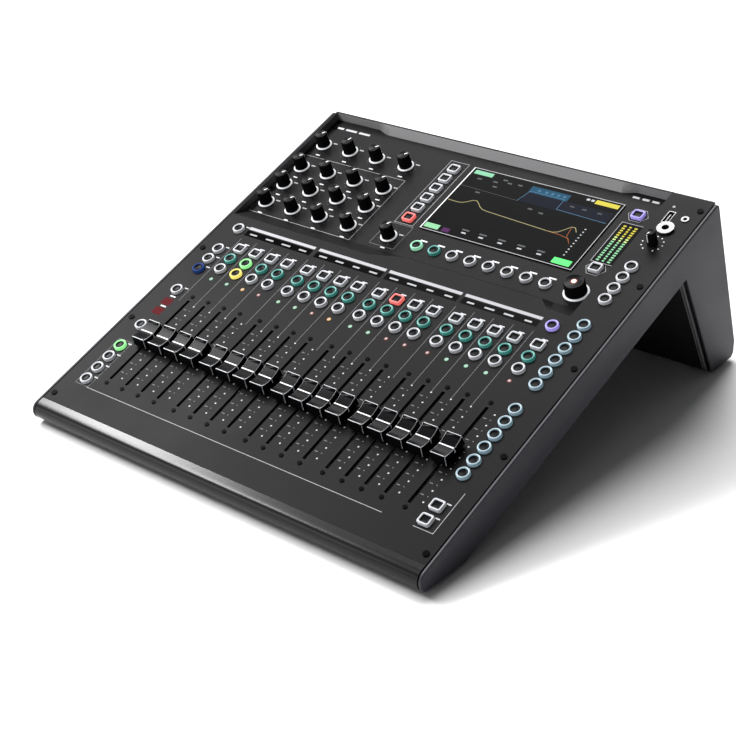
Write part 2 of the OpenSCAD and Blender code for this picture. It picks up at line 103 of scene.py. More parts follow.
def solids_of(node, to_local=TO_PANEL):
    """(low, high) corners of each separate solid in a CAD node, in local millimetres."""
    bm = bmesh.new()
    bm.from_mesh(frame["nodes"][node].data)
    bmesh.ops.remove_doubles(bm, verts=bm.verts, dist=2e-6)
    seen, boxes = set(), []
    for start in bm.verts:
        if start in seen:
            continue
        seen.add(start)
        todo, group = [start], []
        while todo:
            vert = todo.pop()
            group.append(to_local @ vert.co)
            for edge in vert.link_edges:
                other = edge.other_vert(vert)
                if other not in seen:
                    seen.add(other)
                    todo.append(other)
        low = Vector(map(min, zip(*group)))
        high = Vector(map(max, zip(*group)))
        boxes.append((low, high))
    bm.free()
    return boxes


def middles(node):
    """Middle of each solid of a node, from the front to the rear and from left to right."""
    found = [(low + high) / 2 for low, high in solids_of(node)]
    return sorted(((round(p.x, 1), round(p.y, 1)) for p in found), key=lambda p: (p[1], p[0]))


# ---- materials ----

def new_material(name):
    material = bpy.data.materials.new(name)
    material.use_nodes = True
    return material, material.node_tree.nodes, material.node_tree.links


def surface(name, colour, roughness, metallic=0.0, grain=1500.0, bump=0.02, mottle=0.12,
            rough_spread=0.06, specular=0.5, stretch=(1, 1, 1)):
    """A solid surface whose colour, gloss and height vary with a fine grain (per metre)."""
    material, nodes, links = new_material(name)
    shader = nodes["Principled BSDF"]
    place = nodes.new("ShaderNodeTexCoord")
    scale = nodes.new("ShaderNodeMapping")
    scale.inputs["Scale"].default_value = stretch
    links.new(place.outputs["Object"], scale.inputs["Vector"])
    fine = nodes.new("ShaderNodeTexNoise")
    fine.inputs["Scale"].default_value = grain
    fine.inputs["Detail"].default_value = 3.0
    broad = nodes.new("ShaderNodeTexNoise")
    broad.inputs["Scale"].default_value = 18.0
    broad.inputs["Detail"].default_value = 2.0
    for noise in (fine, broad):
        links.new(scale.outputs["Vector"], noise.inputs["Vector"])
    tone = nodes.new("ShaderNodeMapRange")
    tone.inputs["To Min"].default_value = 1.0 - mottle
    tone.inputs["To Max"].default_value = 1.0 + mottle
    links.new(fine.outputs["Fac"], tone.inputs["Value"])
    tint = nodes.new("ShaderNodeVectorMath")
    tint.operation = "SCALE"
    tint.inputs[0].default_value = colour
    links.new(tone.outputs["Result"], tint.inputs["Scale"])
    links.new(tint.outputs["Vector"], shader.inputs["Base Color"])
    gloss = nodes.new("ShaderNodeMapRange")
    gloss.inputs["To Min"].default_value = max(0.02, roughness - rough_spread)
    gloss.inputs["To Max"].default_value = roughness + rough_spread
    links.new(broad.outputs["Fac"], gloss.inputs["Value"])
    links.new(gloss.outputs["Result"], shader.inputs["Roughness"])
    relief = nodes.new("ShaderNodeBump")
    relief.inputs["Strength"].default_value = 0.6
    relief.inputs["Distance"].default_value = bump * MM
    links.new(fine.outputs["Fac"], relief.inputs["Height"])
    links.new(relief.outputs["Normal"], shader.inputs["Normal"])
    shader.inputs["Metallic"].default_value = metallic
    shader.inputs["Specular IOR Level"].default_value = specular
    return material


def lit(name, colour, strength, body=(0.004, 0.004, 0.004), roughness=0.35,
        specular=0.01):
    """A translucent moulding lit from inside, a little uneven. The knob flanges and the white key
    rings use it for painted glow.
    """
    material = surface(name, body, roughness, grain=900.0, bump=0.004, mottle=0.05,
                       specular=specular)
    nodes, links = material.node_tree.nodes, material.node_tree.links
    shader = nodes["Principled BSDF"]
    cloud = nodes.new("ShaderNodeTexNoise")
    cloud.inputs["Scale"].default_value = 260.0
    glow = nodes.new("ShaderNodeMapRange")
    glow.inputs["To Min"].default_value = strength * 0.75
    glow.inputs["To Max"].default_value = strength * 1.25
    links.new(cloud.outputs["Fac"], glow.inputs["Value"])
    links.new(glow.outputs["Result"], shader.inputs["Emission Strength"])
    shader.inputs["Emission Color"].default_value = (*colour, 1.0)
    return material


PAINT = surface("charcoal_paint", (0.0066, 0.0058, 0.0060), 0.44, grain=2600, bump=0.012,
                specular=0.042)
NOSE_PAINT = surface("nose_paint", (0.0062, 0.0058, 0.0062), 0.22, grain=900, bump=0.002,
                     rough_spread=0.01, specular=0.20)
CHEEK_PAINT = surface("cheek_paint", (0.023, 0.0225, 0.030), 0.50, grain=1400, bump=0.05,
                      specular=0.30)
SHEET_PAINT = surface("sheet_paint", (0.012, 0.012, 0.0135), 0.52, grain=2200, bump=0.02,
                      specular=0.3)
KNOB_BLACK = surface("knob_black", (0.004, 0.004, 0.0045), 0.34, grain=3500, bump=0.01,
                     specular=0.05)
# The pale flange glows a little: painted glow standing in for the highlight on its rim.
FLANGE_PAINTED_GLOW = lit("knob_flange", (0.9, 0.92, 0.95), 0.32, (0.62, 0.63, 0.65), 0.3)
POINTER = surface("pointer_white", (0.75, 0.76, 0.78), 0.45, grain=3000, bump=0.003)
FADER_BLACK = surface("fader_black", (0.003, 0.003, 0.0035), 0.24, grain=4000, bump=0.006,
                      specular=0.03)
# Pale grey for the edges of the fader caps: painted highlights along them.
FADER_EDGE_HIGHLIGHT = surface("fader_edge_painted_highlight", (0.42, 0.43, 0.45), 0.35, grain=3000, bump=0.004)
STEEL = surface("zinc_steel", (0.42, 0.43, 0.45), 0.34, metallic=0.95, grain=700,
                stretch=(1, 14, 14))
NICKEL = surface("nickel", (0.40, 0.395, 0.385), 0.28, metallic=1.0, grain=2500, bump=0.003)
SATIN = surface("satin_metal", (0.13, 0.13, 0.13), 0.36, metallic=0.9, grain=2500, bump=0.003)
GOLD = surface("contact_gold", (0.72, 0.50, 0.20), 0.25, metallic=1.0, grain=2500, bump=0.003)
SCREW = surface("black_screw", (0.0008, 0.0008, 0.0008), 0.4, grain=2500, specular=0.012)
BOARD = surface("circuit_board", (0.02, 0.12, 0.06), 0.4, grain=900, bump=0.05, mottle=0.3)
SOCKET = surface("socket_moulding", (0.022, 0.022, 0.023), 0.42, grain=2600, bump=0.02)
RUBBER = surface("rubber", (0.012, 0.012, 0.012), 0.8, grain=1800, bump=0.05)
GLASS = surface("screen_glass", (0.0008, 0.0009, 0.0011), 0.22, grain=900, bump=0.002,
                rough_spread=0.03, specular=0.008)
WINDOW = surface("display_window", (0.0008, 0.0008, 0.0008), 0.22, grain=900, bump=0.002,
                 specular=0.008)
PRINT = surface("print_grey", (0.30, 0.30, 0.32), 0.6, grain=4000, bump=0.002)
PRINT_DIM = surface("print_dim", (0.12, 0.12, 0.13), 0.6, grain=4000, bump=0.002)
PRINT_WHITE = surface("print_white", (0.66, 0.67, 0.69), 0.55, grain=4000, bump=0.002)
PRINT_MID = surface("print_mid", (0.42, 0.42, 0.44), 0.6, grain=4000, bump=0.002)
PRINT_RED = surface("print_red", (0.07, 0.004, 0.006), 0.5, grain=4000, bump=0.002,
                    specular=0.02)
# Lighter paints for the ramps, walls and tray lips round the sunken section: painted light, drawn
# lighter than the charcoal paint for the light these faces catch.
WALL_PAINTED_LIGHT = surface("wall_painted_light", (0.10, 0.098, 0.10), 0.5, grain=1800, bump=0.01,
                    specular=0.3)
RAMP_PAINTED_LIGHT = surface("ramp_painted_light", (0.20, 0.195, 0.20), 0.45, grain=1800, bump=0.01,
                    specular=0.4)
DISH = surface("key_dish", (0.004, 0.004, 0.005), 0.25, grain=3000, bump=0.003,
               specular=0.03)

WHITE = (0.86, 0.88, 0.95)
RING = {
    # The white rings of unlit keys glow faintly: painted glow that brightens them.
    "white": lit("ring_white_painted_glow", WHITE, 0.13, (0.42, 0.43, 0.45), specular=0.3),
    "pale": lit("ring_pale", (0.45, 0.74, 0.90), 0.17, (0.27, 0.34, 0.38), specular=0.3),
    "teal": lit("ring_teal", (0.10, 0.62, 0.52), 0.15, (0.075, 0.24, 0.215), specular=0.3),
    "green": lit("ring_green", (0.30, 1.0, 0.30), 0.75, (0.20, 0.40, 0.22)),
    "mint": lit("ring_mint", (0.40, 1.0, 0.65), 0.45, (0.22, 0.40, 0.30)),
    "yellow": lit("ring_yellow", (1.0, 0.85, 0.18), 0.8, (0.40, 0.34, 0.12)),
    "red": lit("ring_red", (1.0, 0.16, 0.14), 0.7, (0.45, 0.16, 0.16)),
    "blue": lit("ring_blue", (0.05, 0.14, 0.60), 0.13, (0.02, 0.04, 0.13)),
    "violet": lit("ring_violet", (0.42, 0.34, 1.0), 0.5, (0.26, 0.24, 0.42)),
}
LIGHT = {
    "green": lit("light_green", (0.12, 0.95, 0.20), 1.6),
    "soft_green": lit("light_soft_green", (0.42, 0.95, 0.52), 0.9),
    "mint": lit("light_mint", (0.40, 0.95, 0.60), 0.85),
    "amber": lit("light_amber", (1.0, 0.50, 0.10), 1.2),
    "yellow": lit("light_yellow", (0.95, 0.82, 0.10), 0.9),
    "lime": lit("light_lime", (0.75, 0.98, 0.35), 1.1),
    "white": lit("light_white", (0.90, 0.92, 0.95), 0.8),
    "grey": lit("light_grey", (0.42, 0.44, 0.46), 0.35),
    "curve": lit("light_curve", (0.85, 0.75, 0.38), 0.6),
    "red": lit("light_red", (0.75, 0.10, 0.02), 0.35),
    "orange": lit("light_orange", (0.95, 0.30, 0.10), 0.55),
    "blue": lit("light_blue", (0.05, 0.30, 0.55), 0.32),
    "deep_blue": lit("light_deep_blue", (0.008, 0.015, 0.05), 0.35),
    "sky": lit("light_sky", (0.25, 0.60, 0.95), 0.45),
    "purple": lit("light_purple", (0.30, 0.06, 0.35), 0.35),
    "pink": lit("light_pink", (0.9, 0.22, 0.18), 0.5),
    "hot": lit("light_hot", (1.0, 0.78, 0.66), 2.2),
}


# ---- mesh building ----

class Piece:
    """Collects faces in local millimetres and turns them into one object riding on a body."""

    def __init__(self, name, slot, body=CONSOLE, place=PANEL):
        self.name, self.slot, self.body, self.place = name, slot, body, place
        self.points, self.faces, self.marks, self.smooth, self.materials = [], [], [], [], []

    def mark(self, material):
        if material not in self.materials:
            self.materials.append(material)
        return self.materials.index(material)

    def add(self, points, faces, material, smooth=False):
        start = len(self.points)
        self.points.extend(points)
        for face in faces:
            self.faces.append([start + i for i in face])
            self.marks.append(self.mark(material))
            self.smooth.append(smooth)

    def loft(self, rings, materials, smooth=True, cap=True, foot=False):
        """Joins rings of equal length; materials has one entry a band, the last also the cap."""
        count = len(rings[0])
        for i in range(len(rings) - 1):
            faces = [(j, (j + 1) % count, count + (j + 1) % count, count + j)
                     for j in range(count)]
            material = materials[min(i, len(materials) - 1)]
            self.add(rings[i] + rings[i + 1], faces, material, smooth)
        if cap:
            self.add(rings[-1], [tuple(range(count))], materials[-1], smooth)
        if foot:
            self.add(rings[0], [tuple(reversed(range(count)))], materials[0], smooth)

    def block(self, low, high, material, top_inset=0.0):
        """A box between two corners, its top drawn in by top_inset all round."""
        (a, b, c), (d, e, f), t = low, high, top_inset
        points = [(a, b, c), (d, b, c), (d, e, c), (a, e, c),
                  (a + t, b + t, f), (d - t, b + t, f), (d - t, e - t, f), (a + t, e - t, f)]
        faces = [(3, 2, 1, 0), (4, 5, 6, 7), (0, 1, 5, 4), (1, 2, 6, 5), (2, 3, 7, 6), (3, 0, 4, 7)]
        self.add(points, faces, material)

    def patch(self, u1, u2, v1, v2, h, material, thick=0.03):
        """A thin printed or lit patch, as a slab on the surface at h."""
        self.block((u1, v1, h), (u2, v2, h + thick), material)

    def line(self, points, width, h, material, closed=False, thick=0.03):
        """A thin printed line with mitred corners through (u, v) points."""
        path = [Vector(p) for p in points]
        count = len(path)
        left, right = [], []
        for i, at in enumerate(path):
            before = path[i - 1] if (closed or i > 0) else at
            after = path[(i + 1) % count] if (closed or i < count - 1) else at
            sides = [Vector((-d.y, d.x)).normalized() for d in (at - before, after - at)
                     if d.length > 1e-6]
            normal = sum(sides, Vector((0, 0))).normalized()
            reach = width / 2 / max(0.35, normal.dot(sides[0]))
            left.append(at + normal * reach)
            right.append(at - normal * reach)
        low = [(p.x, p.y, h) for p in left + right]
        top = [(p.x, p.y, h + thick) for p in left + right]
        faces = []
        for i in range(count if closed else count - 1):
            j = (i + 1) % count
            faces.append((2 * count + j, 2 * count + i, 3 * count + i, 3 * count + j))
            faces.append((i, j, count + j, count + i))
            faces.append((i, 2 * count + i, 2 * count + j, j))
            faces.append((count + j, 3 * count + j, 3 * count + i, count + i))
        if not closed:
            e = count - 1
            faces.append((0, count, 3 * count, 2 * count))
            faces.append((e, 2 * count + e, 3 * count + e, count + e))
        self.add(low + top, faces, material)

    def dot(self, u, v, h, r, material, rise=0.25, sides=12):
        """A small domed light or printed dot."""
        rings = [circle(u, v, h, r, sides), circle(u, v, h + rise * 0.7, r * 0.8, sides),
                 circle(u, v, h + rise, r * 0.35, sides)]
        self.loft(rings, [material], foot=True)

    def done(self, *replaced):
        """Makes the object, sets it on its body, and hides the CAD nodes it stands in for."""
        mesh = bpy.data.meshes.new(self.name)
        mesh.from_pydata([self.place @ Vector(p) for p in self.points], [], self.faces)
        for material in self.materials:
            mesh.materials.append(material)
        mesh.polygons.foreach_set("material_index", self.marks)
        mesh.polygons.foreach_set("use_smooth", self.smooth)
        bm = bmesh.new()
        bm.from_mesh(mesh)
        bmesh.ops.remove_doubles(bm, verts=bm.verts, dist=2e-6)
        bmesh.ops.recalc_face_normals(bm, faces=bm.faces)
        bm.to_mesh(mesh)
        bm.free()
        mesh.set_sharp_from_angle(angle=math.radians(38))
        piece = bpy.data.objects.new(self.name, mesh)
        bpy.context.scene.collection.objects.link(piece)
        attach(piece, self.body)
        if replaced:
            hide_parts(*replaced)
        return piece


def circle(u, v, h, r, sides=40):
    turns = [2 * math.pi * i / sides for i in range(sides)]
    return [(u + r * math.cos(a), v + r * math.sin(a), h) for a in turns]


def rounded(u, v, h, width, length, r, steps=6):
    """A rectangle with round corners, centred on (u, v)."""
    r = max(0.05, min(r, width / 2 - 0.01, length / 2 - 0.01))
    points = []
    for quarter, (sx, sy) in enumerate(((1, 1), (-1, 1), (-1, -1), (1, -1))):
        for step in range(steps + 1):
            a = math.pi / 2 * (quarter + step / steps)
            points.append((u + sx * (width / 2 - r) + r * math.cos(a),
                           v + sy * (length / 2 - r) + r * math.sin(a), h))
    return points


# ---- keys ----

# Inset from a key's outline and height over its surface: up the lit rim, then down into the dish
KEY_STEPS = [(0.0, -0.6), (0.0, 2.0), (0.12, 2.4), (0.42, 2.7), (0.85, 2.8), (1.30, 2.72),
             (1.62, 2.45), (1.80, 2.1)]
DISH_STEPS = [(1.80, 2.1), (2.10, 1.75), (2.9, 1.5), (4.1, 1.4)]


def round_key(piece, u, v, surface_h, colour, r=5.9):
    rim = [circle(u, v, surface_h + h, r - inset) for inset, h in KEY_STEPS]
    dish = [circle(u, v, surface_h + h, r - inset) for inset, h in DISH_STEPS]
    piece.loft(rim, [RING[colour]], cap=False, foot=True)
    piece.loft(dish, [DISH])


def square_key(piece, u, v, surface_h, colour, width=11.6, length=10.6, corner=2.2):
    def outline(inset, h):
        return rounded(u, v, surface_h + h, width - 2 * inset, length - 2 * inset,
                       max(0.4, corner - inset * 0.6))
    piece.loft([outline(*step) for step in KEY_STEPS], [RING[colour]], cap=False, foot=True)
    piece.loft([outline(*step) for step in DISH_STEPS], [DISH])


def key_group(node, surface_h, draw, colour_at):
    """Stands detailed keys in for a CAD group; colour_at gives each key's light."""
    piece = Piece(node + "_detail", "key", node)
    for i, (u, v) in enumerate(middles(node)):
        draw(piece, u, v, surface_h, colour_at(i, u, v))
    piece.done(node)


def function_colour(u, v):
    """The light of a function key, from which block at the panel's edges it belongs to."""
    if 150 < u < 175:
        return "violet"
    if u < 0:
        return "green" if 35 < v < 50 else "blue" if 145 < v < 160 else "white"
    return "pale" if 20 < v < 240 else "white"


def draw_function_key(piece, u, v, surface_h, colour):
    draw = square_key if u > 150 and v < 20 else round_key
    draw(piece, u, v, surface_h, colour)


def keys():
    key_group("mute_keys", 0, square_key, lambda i, u, v: "red" if i == 9 else "white")
    key_group("select_keys", 0, round_key, lambda i, u, v: "green" if i == 1 else "teal")
    key_group("listen_keys", 0, round_key, lambda i, u, v: "yellow" if i == 1 else "white")
    key_group("soft_keys", RECESS_H, round_key,
              lambda i, u, v: ("mint", "teal")[i] if i < 2 else "white")
    key_group("screen_keys", RECESS_H, square_key,
              lambda i, u, v: "violet" if u > 0 and v > 340 else
              "red" if u < 0 and v < 300 else "white")
    key_group("function_keys", 0, draw_function_key, lambda i, u, v: function_colour(u, v))


# ---- faders ----

FADERS = ["fader_cap_%d" % (i + 1) for i in range(16)] + ["fader_cap_main"]


def middle_u(node):
    """Where the middle of a node is across the panel."""
    low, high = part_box(node)
    return (TO_PANEL @ ((low + high) / 2)).x


def fader_cap(node):
    """A black cap with a finger dish, painted highlights along its edges, a white centre line, and
    its lever.
    """
    u = middle_u(node)
    cap_v, half_l, half_w = 59.6, 13.2, 7.5
    foot, top, dish_d = 2.2, 11.9, 2.3
    steps, shoulder, edge_w, taper, line_half = 14, 1.6, 0.45, 0.55, 0.55
    lever_foot, lever_half_w, lever_half_l = -20, 1, 3
    inner = half_l - shoulder

    def height(v):
        return top - dish_d * (1 - (v / inner) ** 2)

    front = [(-half_l, foot), (-half_l, foot + 1.0), (-half_l + 0.9, top - 0.7), (-inner, top)]
    dish = [(v, height(v)) for v in [inner * (2 * i / steps - 1) for i in range(1, steps)]]
    profile = front + dish + [(-v, h) for v, h in reversed(front)]

    def section(du, shrink):
        return [(u + du, cap_v + v * (1 - shrink / half_l),
                 foot + (h - foot) * (1 - shrink / (top - foot))) for v, h in profile]

    piece = Piece(node + "_detail", "fader", node)
    rings = [section(-half_w, taper), section(-half_w + edge_w, 0.0),
             section(half_w - edge_w, 0.0), section(half_w, taper)]
    # The outer bands of each side carry painted edge highlights.
    for a, b, material in ((0, 1, FADER_EDGE_HIGHLIGHT), (1, 2, FADER_BLACK), (2, 3, FADER_EDGE_HIGHLIGHT)):
        piece.loft([rings[a], rings[b]], [material], smooth=False, cap=False)
    piece.add(rings[0], [tuple(reversed(range(len(profile))))], FADER_BLACK)
    piece.add(rings[3], [tuple(range(len(profile)))], FADER_BLACK)
    piece.block((u - half_w + edge_w, cap_v - line_half, height(0) - 0.3),
                (u + half_w - edge_w, cap_v + line_half, height(0) + 0.06), POINTER)
    for side in (-1, 1):
        piece.block((u + side * half_w - 0.05, cap_v - line_half, foot + 2.5),
                    (u + side * half_w + 0.02, cap_v + line_half, height(0) - 0.5), POINTER)
    # Painted highlight lines along the front and rear top edges.
    for side in (-1, 1):
        edge_v = cap_v + side * (half_l - 1.5)
        piece.block((u - half_w + 0.7, edge_v - 0.28, top - 0.5),
                    (u + half_w - 0.7, edge_v + 0.28, top + 0.03), FADER_EDGE_HIGHLIGHT)
    piece.block((u - lever_half_w, cap_v - lever_half_l, lever_foot),
                (u + lever_half_w, cap_v + lever_half_l, foot + 0.1), STEEL)
    piece.done(node)


# ---- knobs ----

def knob(node, body_d, top_h, flange_d, surface_h, flutes=22, pointer=35.0, cap_light=None):
    """A fluted black knob with a pointer line over a pale base flange with painted glow, and its
    shaft.
    """
    at = TO_PANEL @ Vector(JOINTS[node.replace("knob", "turn")]["pos_m"])
    gap, flange_h, shaft_foot, shaft_r = 0.6, 1.3, -17.0, 3.0
    base = surface_h + gap
    sides = flutes * 4
    piece = Piece(node + "_detail", "knob", node)

    def fluted(r, h, depth):
        points = []
        for i in range(sides):
            a = 2 * math.pi * i / sides
            radius = r - depth * (0.5 + 0.5 * math.cos(a * flutes))
            points.append((at.x + radius * math.cos(a), at.y + radius * math.sin(a), h))
        return points

    # The base flange carries painted glow for its highlight.
    if flange_d > body_d:
        rim = [circle(at.x, at.y, base + h, flange_d / 2 - inset, sides)
               for inset, h in ((0.5, 0.0), (0.0, 0.25), (0.0, 0.85), (0.3, 1.2),
                                (1.0, flange_h))]
        piece.loft(rim, [FLANGE_PAINTED_GLOW], foot=True)
        start = base + flange_h
    else:
        start = base
    r = body_d / 2
    top = base + top_h
    body = [fluted(r, start, 0.0), fluted(r, start + 1.2, 0.1), fluted(r - 0.2, start + 2.0, 0.42),
            fluted(r - 0.5, top - 1.6, 0.42), fluted(r - 0.75, top - 0.5, 0.15),
            fluted(r - 1.25, top - 0.05, 0.0), fluted(r - 2.1, top, 0.0),
            fluted(r - 2.5, top - 0.25, 0.0)]
    piece.loft(body, [KNOB_BLACK], foot=True)
    a = math.radians(pointer)
    along, across = Vector((math.cos(a), math.sin(a))), Vector((-math.sin(a), math.cos(a)))
    centre = Vector((at.x, at.y))
    if cap_light:
        piece.dot(at.x, at.y, top - 0.28, 3.3, LIGHT["pink"], rise=0.14, sides=24)
        piece.dot(at.x, at.y, top - 0.14, 2.2, cap_light, rise=0.13, sides=24)
    else:
        ends = [centre + along * reach for reach in (r * 0.25, r - 1.3)]
        corners = [end + across * s for end, s in
                   ((ends[0], -0.5), (ends[1], -0.5), (ends[1], 0.5), (ends[0], 0.5))]
        piece.loft([[(c.x, c.y, h) for c in corners] for h in (top - 0.3, top - 0.02)],
                   [POINTER], smooth=False)
        for s in range(5):
            foot = centre + along * (r - 0.62 + 0.07 * s)
            low_h, high_h = top - 1.0 - 2.2 * (s + 1), top - 1.0 - 2.2 * s
            corners = [foot + across * 0.5 - along * 0.4, foot + across * 0.5 + along * 0.12,
                       foot - across * 0.5 + along * 0.12, foot - across * 0.5 - along * 0.4]
            if low_h > start + 1.5:
                piece.loft([[(c.x, c.y, h) for c in corners] for h in (low_h, high_h)],
                           [POINTER], smooth=False)
    shaft = [circle(at.x, at.y, h, shaft_r, 24) for h in (shaft_foot, base + 0.1)]
    piece.loft(shaft, [STEEL], foot=True)
    piece.done(node)


def knobs():
    rng = random.Random(7)
    for i in range(16):
        knob("knob_%d" % (i + 1), 13.4, 14.5, 16.4, RECESS_H, pointer=rng.uniform(40, 75))
    knob("gain_knob", 13.4, 14.5, 16.4, RECESS_H, pointer=60)
    knob("encoder_knob", 20.0, 13.5, 23.4, RECESS_H, flutes=36, cap_light=LIGHT["hot"])
    knob("phones_knob", 10.0, 13.0, 10.0, 0, flutes=18, pointer=250)


# ---- case ----

def dressed(node, material):
    """Gives a CAD node that keeps its own shape its material."""
    mesh = frame["nodes"][node].data
    mesh.materials.clear()
    mesh.materials.append(material)


def eased(node, material, width=0.8, segments=3):
    """A copy of a CAD node with its edges rounded over, standing in for it."""
    source = frame["nodes"][node]
    bm = bmesh.new()
    bm.from_mesh(source.data)
    bmesh.ops.remove_doubles(bm, verts=bm.verts, dist=2e-6)
    bmesh.ops.dissolve_limit(bm, angle_limit=math.radians(0.5), verts=bm.verts, edges=bm.edges)
    sharp = [e for e in bm.edges if e.is_manifold and e.calc_face_angle(0) > math.radians(15)]
    bmesh.ops.bevel(bm, geom=sharp, offset=width * MM, segments=segments, affect="EDGES",
                    profile=0.5, clamp_overlap=True)
    mesh = bpy.data.meshes.new(node + "_eased")
    bm.to_mesh(mesh)
    bm.free()
    mesh.materials.append(material)
    mesh.polygons.foreach_set("use_smooth", [True] * len(mesh.polygons))
    mesh.set_sharp_from_angle(angle=math.radians(30))
    piece = bpy.data.objects.new(node + "_eased", mesh)
    bpy.context.scene.collection.objects.link(piece)
    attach(piece, CONSOLE)
    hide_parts(node)
    return piece


def case():
    eased("side_cheeks", CHEEK_PAINT, width=0.9)
    eased("nose_bar", NOSE_PAINT, width=0.15, segments=1)
    for node in ("top_panel", "control_recess"):
        dressed(node, PAINT)
    for node in ("base_tray", "rear_panel"):
        dressed(node, SHEET_PAINT)
    dressed("fader_tracks", STEEL)
    dressed("power_supply", STEEL)
    dressed("circuit_boards", BOARD)
    for node in ("mic_inputs", "line_outputs", "rear_sockets", "power_rocker"):
        dressed(node, SOCKET)
    dressed("top_sockets", SATIN)
    dressed("rubber_feet", RUBBER)
    dressed("panel_screws", SCREW)
    dressed("touchscreen", GLASS)
    dressed("display_windows", WINDOW)


def skirts():
    """Pressed transitions round the sunken section: the tongue's slope and rounded ramp ends, the
    ramp ends in the lighter paint as painted light.
    """
    front, tongue, foot = 230.0, 239.0, 246.0
    rim, ramp_foot, wall_foot = 398.5, 392.5, 397.0
    lift, sheet_t = 0.04, 0.3
    piece = Piece("recess_skirts", "panel")

    def sweep(stations, material):
        """Stations are pairs of points, one at the top edge and one at the foot."""
        rings = [[top, low, (low[0], low[1], low[2] - sheet_t), (top[0], top[1], top[2] - sheet_t)]
                 for top, low in stations]
        piece.loft(rings, [material], smooth=True, foot=True)

    def mix(a, b, t):
        return tuple(x + (y - x) * t for x, y in zip(a, b))

    steps = [i / 8 for i in range(9)]
    ease = [t * t * (3 - 2 * t) for t in steps]
    flat = [(mix((-45, front), (-10, tongue), t), (-51 + 37 * t, front + (foot - front) * t))
            for t in steps]
    flat += [((140, tongue), (144, foot))]
    flat += [((140 + 10 * t, tongue - 9 * e), (144 + 12 * t, foot - 16 * e))
             for t, e in zip(steps[1:], ease[1:])]
    sweep([((*top, lift), (*low, lift - (low[1] - front) / 2)) for top, low in flat], PAINT)
    # The rounded ramp ends get the lighter ramp paint: painted light.
    for u, reach in ((125, 16), (-145, -16)):
        sweep([((u + reach * t, rim, 0.0),
                (u + reach * t, ramp_foot + (wall_foot - ramp_foot) * e, RECESS_H + lift))
               for t, e in zip(steps, ease)], RAMP_PAINTED_LIGHT)
    piece.done()


def leg_lips():
    """The folded lip of the tray along the front edge of the rear leg, inside each cheek, in the
    lighter ramp paint as a painted highlight.

    Here x is across, y to the rear and z up, in the shared frame.
    """
    piece = Piece("leg_lips", "panel", place=Matrix.Scale(MM, 4))
    cheek_t, leg_foot_d, foot_chamfer, foot_h = 3.0, 36.5, 4.2, 3.0
    knee_v, knee_d = 335, 34
    half_inner = cad_box[1][0] / MM - cheek_t
    foot = Vector((0.0, cad_box[1][1] / MM - leg_foot_d - foot_chamfer, foot_h))
    knee = PANEL @ Vector((0.0, knee_v, -knee_d)) / MM
    along = (knee - foot).normalized()
    out = Vector((0, -along.z, along.y))
    for side in (-1, 1):
        for inset, rise in ((2.2, 1.6), (5.2, 0.9)):
            x = side * (half_inner - inset)
            ends = [foot + along * 2.0, knee - along * 5.0]
            rings = [[(x + dx, p.y + out.y * d, p.z + out.z * d)
                      for dx, d in ((-0.6, -0.2), (0.6, -0.2), (0.6, rise), (-0.6, rise))]
                     for p in ends]
            # The lips are drawn in the lighter ramp paint: painted highlight.
            piece.loft(rings, [RAMP_PAINTED_LIGHT], smooth=False, foot=True)
    piece.done()


def rear_fittings():
    """Contacts, flange screws and plain printed marks on the sockets of the rear face."""
    trim = Piece("rear_fittings", "panel", place=REAR)
    pitch, flange, contacts = 27, 1.8, ((4.4, 0.0), (-4.4, 0.0), (0.0, -4.4))
    first_input, input_rows, first_output, output_row = -2, (97, 131), -110, 60
    mains_x, mains_y, network_x = -166, 78, -76

    def pin(x, y, r, low, high, material):
        trim.loft([circle(x, y, low, r, 12), circle(x, y, high - 0.3, r, 12),
                   circle(x, y, high, r * 0.6, 12)], [material], foot=True)

    def flange_screws(x, y):
        for side in (-1, 1):
            trim.dot(x + side * 9.6, y - side * 12.0, flange, 1.7, STEEL, rise=0.6, sides=16)

    for row in input_rows:
        for i in range(8):
            x = first_input + pitch * i
            flange_screws(x, row)
            for dx, dy in contacts:
                pin(x + dx, row + dy, 1.24, -4.0, 1.5, GOLD)
            trim.block((x - 3.2, row + 10.9, flange), (x + 3.2, row + 14.2, flange + 1.6), STEEL,
                       top_inset=0.4)
            trim.patch(x - 2.6, x + 2.6, row - 18.3, row - 17.2, 0, PRINT_WHITE)
    for i in range(12):
        x = first_output + pitch * i
        flange_screws(x, output_row)
        for dx, dy in contacts:
            pin(x + dx, output_row + dy, 1.26, -16.4, -2.9, GOLD)
        trim.patch(x - 2.6, x + 2.6, output_row - 18.6, output_row - 17.4, 0, PRINT_WHITE)
    for x, y in ((mains_x - 7, 57), (mains_x + 7, 57), (mains_x, 62)):
        trim.block((x - 1.05, y - 2.05, -17.4), (x + 1.05, y + 2.05, -2.9), NICKEL)
    for port in (network_x - 10, network_x + 10):
        for k in range(8):
            x = port - 3.5 + k
            trim.block((x - 0.25, 117.4, -10.0), (x + 0.25, 118.15, -1.2), GOLD)
        trim.dot(port - 4.4, 124.2, flange, 0.9, LIGHT["green"], rise=0.4)
        trim.dot(port + 4.4, 124.2, flange, 0.9, LIGHT["amber"], rise=0.4)
    for side in (-1, 1):
        trim.dot(mains_x + side * 16.4, mains_y - side * 38.4, flange, 2.0, STEEL, rise=0.7,
                 sides=16)
        trim.dot(network_x + side * 20.6, 114, flange, 1.4, STEEL, rise=0.6, sides=16)
    trim.patch(mains_x - 16, mains_x + 16, 122.4, 124.2, 0, PRINT_WHITE)
    trim.patch(network_x - 19, network_x + 19, 98.6, 99.8, 0, PRINT_WHITE)
    trim.done()


